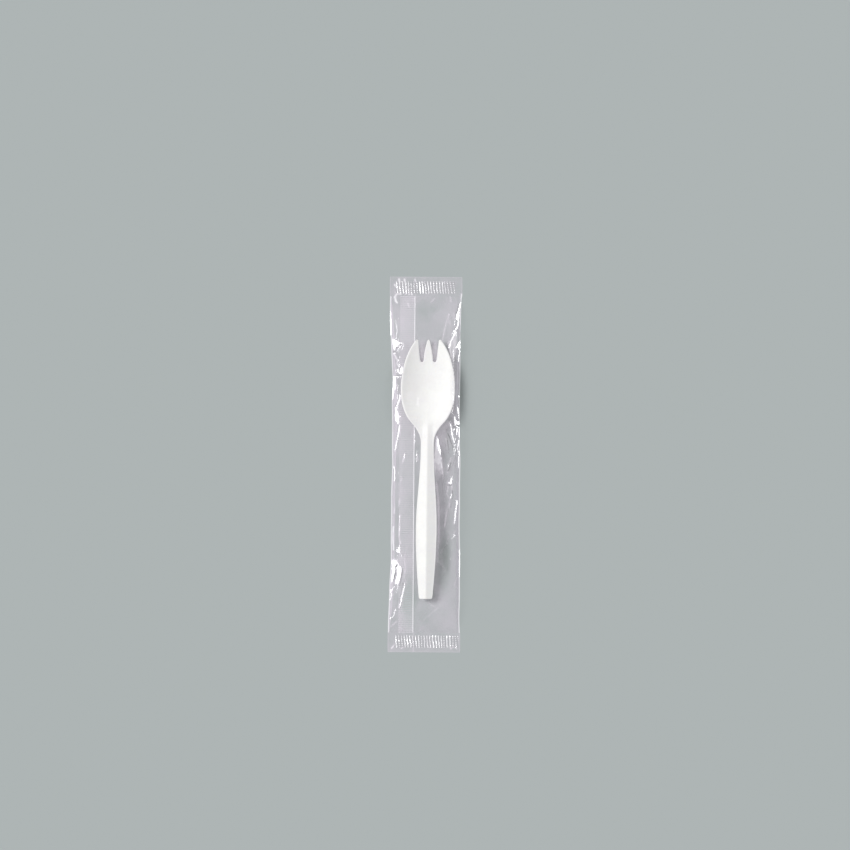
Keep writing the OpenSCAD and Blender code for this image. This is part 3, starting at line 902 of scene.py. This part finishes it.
def film_material(name, colour, haze, line_pitch=None):
    """Clear glossy film: a faint veil, denser along its creases and where it is seen edge on, whitened by
    painted highlights and greyed by painted shade from its masks
    """
    material, tree, shader = new_material(name)
    low, high = VEIL_RANGE
    mottle = place_mottle(tree, 100.0, 1500.0, haze * low, haze * high)
    crease, shade = read_mask(tree, "crease"), read_mask(tree, "shade")
    veil = reckon(tree, "ADD", crease, mottle["Value"])
    if line_pitch:
        place = tree.nodes.new("ShaderNodeTexCoord").outputs["Object"]
        bands = {"Vector": place, "Scale": WAVE_LENGTH / line_pitch}
        wave = add(tree, "ShaderNodeTexWave", bands, bands_direction="Y")
        veil = reckon(tree, "MULTIPLY_ADD", wave.outputs["Fac"], LINE_VEIL, veil)
    edge_on = add(tree, "ShaderNodeLayerWeight", {"Blend": 0.25}).outputs["Fresnel"]
    veil = reckon(tree, "MULTIPLY_ADD", edge_on, EDGE_ON_VEIL, veil, clamp=True)
    # The shade mask thickens the veil with painted shade
    veil = reckon(tree, "MULTIPLY_ADD", shade, DARK_VEIL, veil, clamp=True)
    ray = tree.nodes.new("ShaderNodeLightPath").outputs
    passing = reckon(tree, "MAXIMUM", ray["Is Shadow Ray"], ray["Is Diffuse Ray"])
    held_back = reckon(tree, "MULTIPLY_ADD", passing, -LIGHT_PASSES, 1)
    # The crease mask whitens the veil: crease whitening and painted highlights
    tint = blend(tree, "RGBA", crease, (*colour, 1), CREASE_AND_HIGHLIGHT_WHITE)
    ripple = add(tree, "ShaderNodeBump", {"Height": mottle["Grain"], "Strength": 0.12, "Distance": 0.12 * MM})
    inputs = {
        # Painted shade greys the base colour where the shade mask is
        "Base Color": blend(tree, "RGBA", reckon(tree, "MULTIPLY", shade, 2, clamp=True), tint, PAINTED_SHADE_GREY),
        "Alpha": reckon(tree, "MULTIPLY", veil, held_back),
        "Normal": leaning_normal(tree, ripple),
        "Roughness": 0.11,
        "IOR": 3.4,
    }
    feed(tree, shader, inputs)
    return material


# Operators


# Columns of the spork's grid, from its middle out to its edge
MIDDLE_COLUMNS, SLOT_COLUMNS, TINE_COLUMNS, LIP_COLUMNS = 4, 6, 9, 2
# Rows of its stretches: end corners, handle, heel, bowl, tines and tips
STRETCH_ROWS = (6, 84, 40, 18, 18, 5)
TIP_STRETCH = 1.2 * MM
# How far the end's corners and the slots' bottoms pull on the rows, in corner radii and slot widths
PULL_REACH = 3


class MakeSpork(Operator):
    """Moulds the spork: a dished bowl with three tines on a ridged handle"""

    bl_idname = "wrapped_spork.make_spork"
    bl_label = "Spork"

    def execute(self, context):
        s = context.scene.wrapped_spork.spork
        shape = SporkShape(s)
        middle, slot, tine = MIDDLE_COLUMNS, SLOT_COLUMNS, TINE_COLUMNS
        lip_from = middle + slot + tine
        half = lip_from + LIP_COLUMNS
        corner_to = PULL_REACH * s.end_corner
        tip_from = s.length - TIP_STRETCH
        stops = (0, corner_to, shape.neck_at, shape.bowl_at, shape.slot_at, tip_from, s.length)
        marks = []
        for start, end, count in zip(stops, stops[1:], STRETCH_ROWS):
            marks += [mix(start, end, i / count) for i in range(count)]
        marks = np.array(marks + [s.length])
        rows = len(marks) - 1
        slot_row = int(np.argmin(np.abs(marks - shape.slot_at)))

        def place(column, row):
            v = marks[row]
            side, c = np.sign(column - half), np.abs(column - half)
            inner, outer = shape.inner_line(v), shape.outer_line(v)
            edge, lip_here = shape.outer_half(v), shape.lip_at(v)
            in_slot = (c >= middle) & (c <= middle + slot)
            q_slot = np.clip((c - middle) / slot, 0, 1)
            q_tine = np.clip((c - middle - slot) / tine, 0, 1)
            x = np.where(c <= middle, inner * c / middle, mix(inner, outer, q_slot))
            x = np.where(c > middle + slot, mix(outer, edge - lip_here, q_tine), x)
            x = np.where(c > lip_from, edge - lip_here + lip_here * (c - lip_from) / LIP_COLUMNS, x)
            bulge = np.sqrt(np.clip(1 - (2 * q_slot - 1) ** 2, 0, 1))
            near_slot = 1 - np.clip((shape.slot_at - v) / (PULL_REACH * s.slot_width), 0, 1)
            pull = np.where(in_slot & (v <= shape.slot_at), s.slot_width / 2 * bulge * near_slot, 0)
            q_end = np.where(c <= middle, 0.5 + 0.5 * c / middle, (x - outer) / (edge - outer))
            q_end = np.where(c == middle + slot, 0, np.where(c == middle, 1, q_end))
            tip = s.tip_width / 2 * (1 - np.sqrt(np.clip(1 - (2 * q_end - 1) ** 2, 0, 1)))
            near_tip = np.clip((v - s.length + s.tip_width) / s.tip_width, 0, 1)
            pull = np.where(v > shape.slot_at, tip * near_tip, pull)
            into_corner = np.clip(x - edge + s.end_corner, 0, s.end_corner)
            corner = s.end_corner - np.sqrt(s.end_corner**2 - into_corner**2)
            v = v - pull + corner * np.clip(1 - v / corner_to, 0, 1)
            origin = Vector(((SPORK_LOW[0] + SPORK_HIGH[0]) / 2, SPORK_LOW[1], SPORK_LOW[2]))
            askew = math.sin(s.turn) * (shape.bowl_at - v)
            out, up = origin.x + side * x + askew, origin.z + shape.rise(x, v)
            return np.stack([out, origin.y + v + s.shift, up], axis=1)

        def leave_out(column, row):
            c = min(abs(column - half), abs(column + 1 - half))
            return row >= slot_row and middle <= c < middle + slot

        piece = grid_mesh("spork_moulding", 2 * half, rows, place, leave_out)
        shell = piece.modifiers.new("Wall", "SOLIDIFY")
        shell.thickness = s.wall
        shell.offset = -1
        smooth = piece.modifiers.new("Round edges", "SUBSURF")
        smooth.levels = smooth.render_levels = 1
        piece.data.materials.append(plastic_material(s))
        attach(piece, "spork")
        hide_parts("spork")
        return {"FINISHED"}


# How the front film moves, in millimetres: crumples, fine creases, facets and the fade towards the ends
CRUMPLE_MIDDLE, CRUMPLE_RANGE = 0.25, (-0.25, 1.2)
STREAK_LIFT, FACET_RANGE, END_FADE = 0.2, (-0.9, 2.2), 5
# How much of the crumples a bright fold smooths out, and from which shine to which
GLINT_CALM, GLINT_RISE = 0.85, (0.05, 0.5)
# How white its facets, bends, fine creases and crumples are, and its side folds from their edge inwards: the
# facets, fine creases and side folds carry painted highlights and the crumples' ridges painted reflections
FACET_WHITE, BEND_WHITE, STREAK_WHITE, CRUMPLE_WHITE = 0.22, 0.35, 1.4, 0.22
FOLD_WHITE, FOLD_WIDTH, LEFT_FOLD_WHITE = 1.7, 0.25, 0.9
WHITE_RANGE = (-0.2, 1)
# Back panels: side, node, height over the floor in millimetres and columns
BACK_PANELS = ((-1, "back_film_left", 0.15, 34), (1, "back_film_right", 0.05, 58))
BACK_ROWS, BACK_RIPPLE = 220, 0.02
# Fin: columns, rows, height over the floor in millimetres, and the rise and width of its folded root
FIN_COLUMNS, FIN_ROWS, FIN_REST, FIN_RISE, FIN_ROOT = 40, 400, 0.09, 0.3, 0.45


def panel_y(row, rows):
    return HALF_LENGTH * (2 * row / rows - 1)


def points_of(piece):
    """Places of a piece's points across and along the sleeve, in millimetres"""
    co = np.array([v.co for v in piece.data.vertices]) / MM
    return co[:, 0], co[:, 1]


class MakeFilm(Operator):
    """Wraps the spork in film: the creased front, the two back panels and the fin"""

    bl_idname = "wrapped_spork.make_film"
    bl_label = "Film sleeve"

    def execute(self, context):
        sleeve = context.scene.wrapped_spork.sleeve
        clear = film_material("Clear film", sleeve.colour, sleeve.haze)
        backing = film_material("Back film", sleeve.colour, sleeve.haze)
        welded = film_material("Fin film", sleeve.fin_colour, sleeve.haze * FIN_HAZE, sleeve.fin_line)
        self.front(sleeve, clear)
        self.back(sleeve, backing)
        self.fin(welded)
        return {"FINISHED"}

    def front(self, sleeve, material):
        rows, columns = sleeve.rows, sleeve.columns
        y_marks = HALF_LENGTH * np.linspace(-1, 1, rows + 1)
        base, across = film_section(sleeve, y_marks)
        along = np.broadcast_to(y_marks[:, None], across.shape)
        x = base[:, :, 0]
        lift, mask = facet_field(base)
        crumple = crumple_field(across, along, x)
        to_side = np.clip(side_gap(across) - sleeve.flange / MM / 2, 0, 1)
        to_end = np.clip((HALF_LENGTH - np.abs(along)) / END_FADE, 0, 1)
        streak = streak_field(x, along, STREAKS, STREAK_BREAKS)
        shine = shine_field(x, along)
        calm = 1 - np.maximum(mask, GLINT_CALM * ease(np.abs(shine), *GLINT_RISE))
        push = np.clip(sleeve.crumple / MM * (crumple - CRUMPLE_MIDDLE), *CRUMPLE_RANGE) * calm
        push = (push + STREAK_LIFT * streak) * to_side * to_end
        normal = np.cross(np.gradient(base, axis=0), np.gradient(base, axis=1))
        normal /= np.linalg.norm(normal, axis=2, keepdims=True)
        normal *= np.sign(normal[:, :, 2:3] + 1e-9)
        points = base + normal * push[:, :, None]
        points[:, :, 2] += np.clip(lift, *FACET_RANGE) * to_side * to_end
        # Crease mask: painted highlights on facets, creases and side folds, painted reflections on crumple
        # ridges, whitened bends, then the haze changes
        bends = BEND_WHITE * bend_mask(points)
        folds = np.clip(FOLD_WHITE - side_gap(across) / FOLD_WIDTH, 0, 1)
        folds = folds * np.where(x > 0, 1, LEFT_FOLD_WHITE)
        white = np.maximum.reduce([FACET_WHITE * mask * to_end, bends, folds, STREAK_WHITE * streak])
        # Haze changes, partly painted light and shade over the spork's shadows
        haze = zone_field(x, along, ZONES) + patch_field(x, along)
        white = np.clip(white + CRUMPLE_WHITE * np.clip(crumple, 0, 1) * to_end + haze, *WHITE_RANGE)
        # Painted shade: the dark creases and the handle's painted shadow, which grey and thicken the veil
        shade = np.maximum(streak_field(x, along, PAINTED_DARK_CREASES, DARK_BREAKS), zone_field(x, along, PAINTED_SHADOW_ZONES))

        def place(column, row):
            return points[row, column] * MM

        piece = grid_mesh("front_film_sheet", columns, rows, place)
        for name, field in (("crease", white), ("shine", shine * to_end), ("shade", shade)):
            add_mask(piece, name, field.ravel())
        piece.data.materials.append(material)
        self.settle(piece, "front_film", "clear_film")

    def back(self, sleeve, material):
        root = FIN_HIGH[0] / MM
        for side, name, height, columns in BACK_PANELS:

            def place(column, row):
                y = panel_y(row, BACK_ROWS)
                fold = side * side_fold(y, side, sleeve)
                x = mix(root, fold, column / columns) if side > 0 else mix(fold, root, column / columns)
                ripple = BACK_RIPPLE * lattice_noise(x / 4 + 30, y / 7 + 40, 21)
                return np.stack([x, y, height + ripple], axis=1) * MM

            piece = grid_mesh(name + "_sheet", columns, BACK_ROWS, place)
            add_mask(piece, "crease", np.minimum(zone_field(*points_of(piece), ZONES), 0))
            piece.data.materials.append(material)
            self.settle(piece, name, "clear_film")

    def fin(self, material):
        left, right = FIN_LOW[0] / MM, FIN_HIGH[0] / MM

        def place(column, row):
            x = mix(left, right, column / FIN_COLUMNS)
            z = FIN_REST + FIN_RISE * np.clip(1 - (right - x) / FIN_ROOT, 0, 1)
            return np.stack([x, panel_y(row, FIN_ROWS), z], axis=1) * MM

        piece = grid_mesh("fin_seal_sheet", FIN_COLUMNS, FIN_ROWS, place)
        x, y = points_of(piece)
        # A painted highlight along the fin's folded root
        fold = np.clip(1.9 - np.abs(x - right) / 0.3, 0, 1)
        add_mask(piece, "crease", fold + np.minimum(zone_field(x, y, ZONES), 0))
        piece.data.materials.append(material)
        self.settle(piece, "fin_seal", "sealed_film")

    def settle(self, piece, node, slot):
        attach(piece, "sleeve")
        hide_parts(node)


# Where the crimped band starts and ends across the sleeve, in millimetres, at the top and at the bottom
CRIMP_SPANS = {1: (-17.2, 16.6), -1: (-16.6, 19.4)}
SEAL_COLUMNS, SEAL_ROWS = 320, 92
# How far a seal reaches in under the sleeve, and where its bend starts and ends from there, in millimetres
SEAL_TUCK, SEAL_BEND = 0.05, (0.1, 1.4)
# Height of the two plies over the floor, and of their slow waves, in millimetres
SEAL_REST, SEAL_WAVE = 0.12, 0.6


class MakeEndSeals(Operator):
    """Crimps the two end seals"""

    bl_idname = "wrapped_spork.make_end_seals"
    bl_label = "End seals"

    def execute(self, context):
        sleeve = context.scene.wrapped_spork.sleeve
        seal = context.scene.wrapped_spork.seal
        material = film_material("Sealed film", sleeve.colour, sleeve.haze * SEAL_HAZE)
        for side, name, body in ((1, "top_end_seal", "top_flap"), (-1, "bottom_end_seal", "bottom_flap")):
            self.strip(seal, side, name, body, material)
        return {"FINISHED"}

    def strip(self, seal, side, name, body, material):
        start, end = SLEEVE_HIGH[1] / MM - SEAL_TUCK, SEAL_HIGH[1] / MM
        top = end - seal.margin / MM
        low = top - seal.crimp / MM
        half = SEAL_HIGH[0] / MM - EDGE_INSET
        left, right = CRIMP_SPANS[side]
        pitch, row_pitch, height = seal.pitch / MM, seal.row_pitch / MM, seal.height / MM

        def in_band(x, y):
            band = ease(y, low - 0.15, low + 0.25) * (1 - ease(y, top - 0.25, top + 0.15))
            return band * ease(x, left - 0.6, left + 0.6) * (1 - ease(x, right - 0.6, right + 0.6))

        def relief(x, y):
            patchy = np.clip(0.85 + 0.4 * lattice_noise(x / 5 + 11 * side, y / 5, 31), 0.55, 1)
            lean = x + side * 0.1 * (y - low) + 0.25 * lattice_noise(x / 4, y / 3 + 20, 35)
            rib = np.clip(1.05 * np.cos(2 * np.pi * lean / pitch), 0, 1)
            which, row = np.rint(lean / pitch), np.floor((y - low) / row_pitch)
            whole = np.clip(0.3 - 0.15 * side + 1.2 * lattice_noise(which + 0.5, 0 * y + 3 * side, 37), 0, 1)
            dot = np.clip(0.5 + 0.9 * np.cos(2 * np.pi * ((y - low) / row_pitch - 0.5)), 0, 1)
            each = 0.88 + 0.4 * lattice_noise(which + 0.5, row + 0.5 + 7 * side, 39)
            return in_band(x, y) * patchy * rib * mix(dot, 1, whole) * np.clip(each, 0, 1)

        def place(column, row):
            x = half * (2 * column / SEAL_COLUMNS - 1)
            out = mix(start, end, row / SEAL_ROWS)
            x = x * (1 - 0.004 * ease(out, end - 2, end))
            sway = lattice_noise(x / 6 + 5, out / 4 + 9 * side, 41)
            wave = 0.10 + 0.10 * sway * ease(out, start + 1, start + 3)
            z = SEAL_REST + height * relief(x, out) + np.clip(wave, 0, 1) * SEAL_WAVE
            return np.stack([x, side * out, z], axis=1) * MM

        piece = grid_mesh(name + "_strip", SEAL_COLUMNS, SEAL_ROWS, place)
        x, y = points_of(piece)
        out = np.abs(y)
        ribs, band = relief(x, out), in_band(x, out)
        cut = np.clip(1 - np.abs(out - end) / 0.35, 0, 1)
        rim = np.clip(1 - (half - np.abs(x)) / 0.5, 0, 1)
        fold = np.clip(1.3 - np.abs(x - FIN_HIGH[0] / MM) / 0.4, 0, 1)
        streak = STREAK_WHITE * streak_field(x, y, STREAKS, STREAK_BREAKS)
        # Whitened ribs, partly the crimp's own whitening and partly painted highlights, and painted
        # highlights along the cut edge, the sides and the fold
        white = np.maximum.reduce([3.2 * ribs - 0.12 * band, streak, 0.3 * cut, 0.3 * rim, 0.2 * fold])
        add_mask(piece, "crease", np.clip(white, *WHITE_RANGE))
        add_mask(piece, "shine", np.sign(x) * np.clip(0.5 + (ribs - 0.74) / 0.3, 0, 1))
        # Painted shade in the gaps between the ribs
        add_mask(piece, "shade", 0.26 * band * np.clip(1 - 3 * ribs, 0, 1))
        piece.data.materials.append(material)
        if side < 0:
            piece.data.flip_normals()
        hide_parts(name)
        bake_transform(piece)


# Floor: half its side and its gap to what lies on it, in metres; camera: width of its sensor in millimetres
FLOOR_HALF, FLOOR_GAP, SENSOR = 2.0, 0.05 * MM, 36


class MakeStage(Operator):
    """Lays the floor and sets the lights and the camera"""

    bl_idname = "wrapped_spork.make_stage"
    bl_label = "Stage"

    def execute(self, context):
        look = context.scene.wrapped_spork.stage
        self.floor(look)
        soft = self.lamp("Key light", look.key, context, width=22, away=-46, heading=64)
        soft.visible_glossy = False
        self.lamp("Left glint", look.rim, context, width=12, away=-56, heading=80)
        self.lamp("Right glint", look.rim, context, width=12, away=56, heading=80)
        world = bpy.data.worlds.new("Studio")
        world.use_nodes = True
        sky = world.node_tree.nodes["Background"]
        sky.inputs["Color"].default_value = (0.97, 0.98, 1.0, 1)
        sky.inputs["Strength"].default_value = look.sky
        context.scene.world = world
        self.camera(look, context)
        context.scene.view_settings.view_transform = "Standard"
        return {"FINISHED"}

    def floor(self, look):
        bm = bmesh.new()
        bmesh.ops.create_grid(bm, x_segments=8, y_segments=8, size=FLOOR_HALF)
        bmesh.ops.translate(bm, vec=(0, 0, CAD_BOX[0].z - FLOOR_GAP), verts=bm.verts)
        mesh = bpy.data.meshes.new("floor")
        bm.to_mesh(mesh)
        bm.free()
        floor = bpy.data.objects.new("floor", mesh)
        bpy.context.collection.objects.link(floor)
        material, tree, shader = new_material("Floor paper")
        feed(tree, shader, {"Base Color": (*look.floor, 1), "Roughness": 0.9, "Specular IOR Level": 0.1})
        mesh.materials.append(material)

    def lamp(self, name, energy, context, width, away, heading):
        """A far lamp this wide in the sky, away from overhead and turned from the tines' end, in degrees"""
        light = bpy.data.lights.new(name, "SUN")
        light.energy = energy
        light.angle = math.radians(width)
        lamp = bpy.data.objects.new(name, light)
        context.collection.objects.link(lamp)
        away, heading = math.radians(away), math.radians(heading)
        out = math.sin(away)
        to_light = Vector((out * math.sin(heading), abs(out) * math.cos(heading), math.cos(away)))
        lamp.rotation_euler = to_light.to_track_quat("Z", "Y").to_euler()
        return lamp

    def camera(self, look, context):
        data = bpy.data.cameras.new("Camera")
        data.sensor_width = SENSOR
        data.lens = SENSOR * look.distance / look.across
        data.clip_end = 20
        camera = bpy.data.objects.new("Camera", data)
        context.collection.objects.link(camera)
        camera.location = (-look.above * math.sin(look.roll), look.above, look.distance)
        camera.rotation_euler = (0, 0, look.roll)
        context.scene.camera = camera


class WrappedSporkPanel(Panel):
    """Lists the steps that dress the wrapped spork"""

    bl_idname = "VIEW3D_PT_wrapped_spork"
    bl_label = "Wrapped spork"
    bl_space_type = "VIEW_3D"
    bl_region_type = "UI"
    bl_category = "Wrapped spork"

    def draw(self, context):
        settings = context.scene.wrapped_spork
        for operator, group in (
            (MakeSpork, settings.spork),
            (MakeFilm, settings.sleeve),
            (MakeEndSeals, settings.seal),
            (MakeStage, settings.stage),
        ):
            box = self.layout.box()
            box.operator(operator.bl_idname)
            for key in group.bl_rna.properties.keys():
                if key not in ("rna_type", "name"):
                    box.prop(group, key)


CLASSES = (
    SporkSizes,
    SleeveSizes,
    SealSizes,
    StageLooks,
    WrappedSpork,
    MakeSpork,
    MakeFilm,
    MakeEndSeals,
    MakeStage,
    WrappedSporkPanel,
)


def register():
    for item in CLASSES:
        bpy.utils.register_class(item)
    bpy.types.Scene.wrapped_spork = PointerProperty(type=WrappedSpork)


def unregister():
    del bpy.types.Scene.wrapped_spork
    for item in reversed(CLASSES):
        bpy.utils.unregister_class(item)


def main():
    register()
    bpy.ops.wrapped_spork.make_spork()
    bpy.ops.wrapped_spork.make_film()
    bpy.ops.wrapped_spork.make_end_seals()
    bpy.ops.wrapped_spork.make_stage()


if __name__ == "__main__":
    main()
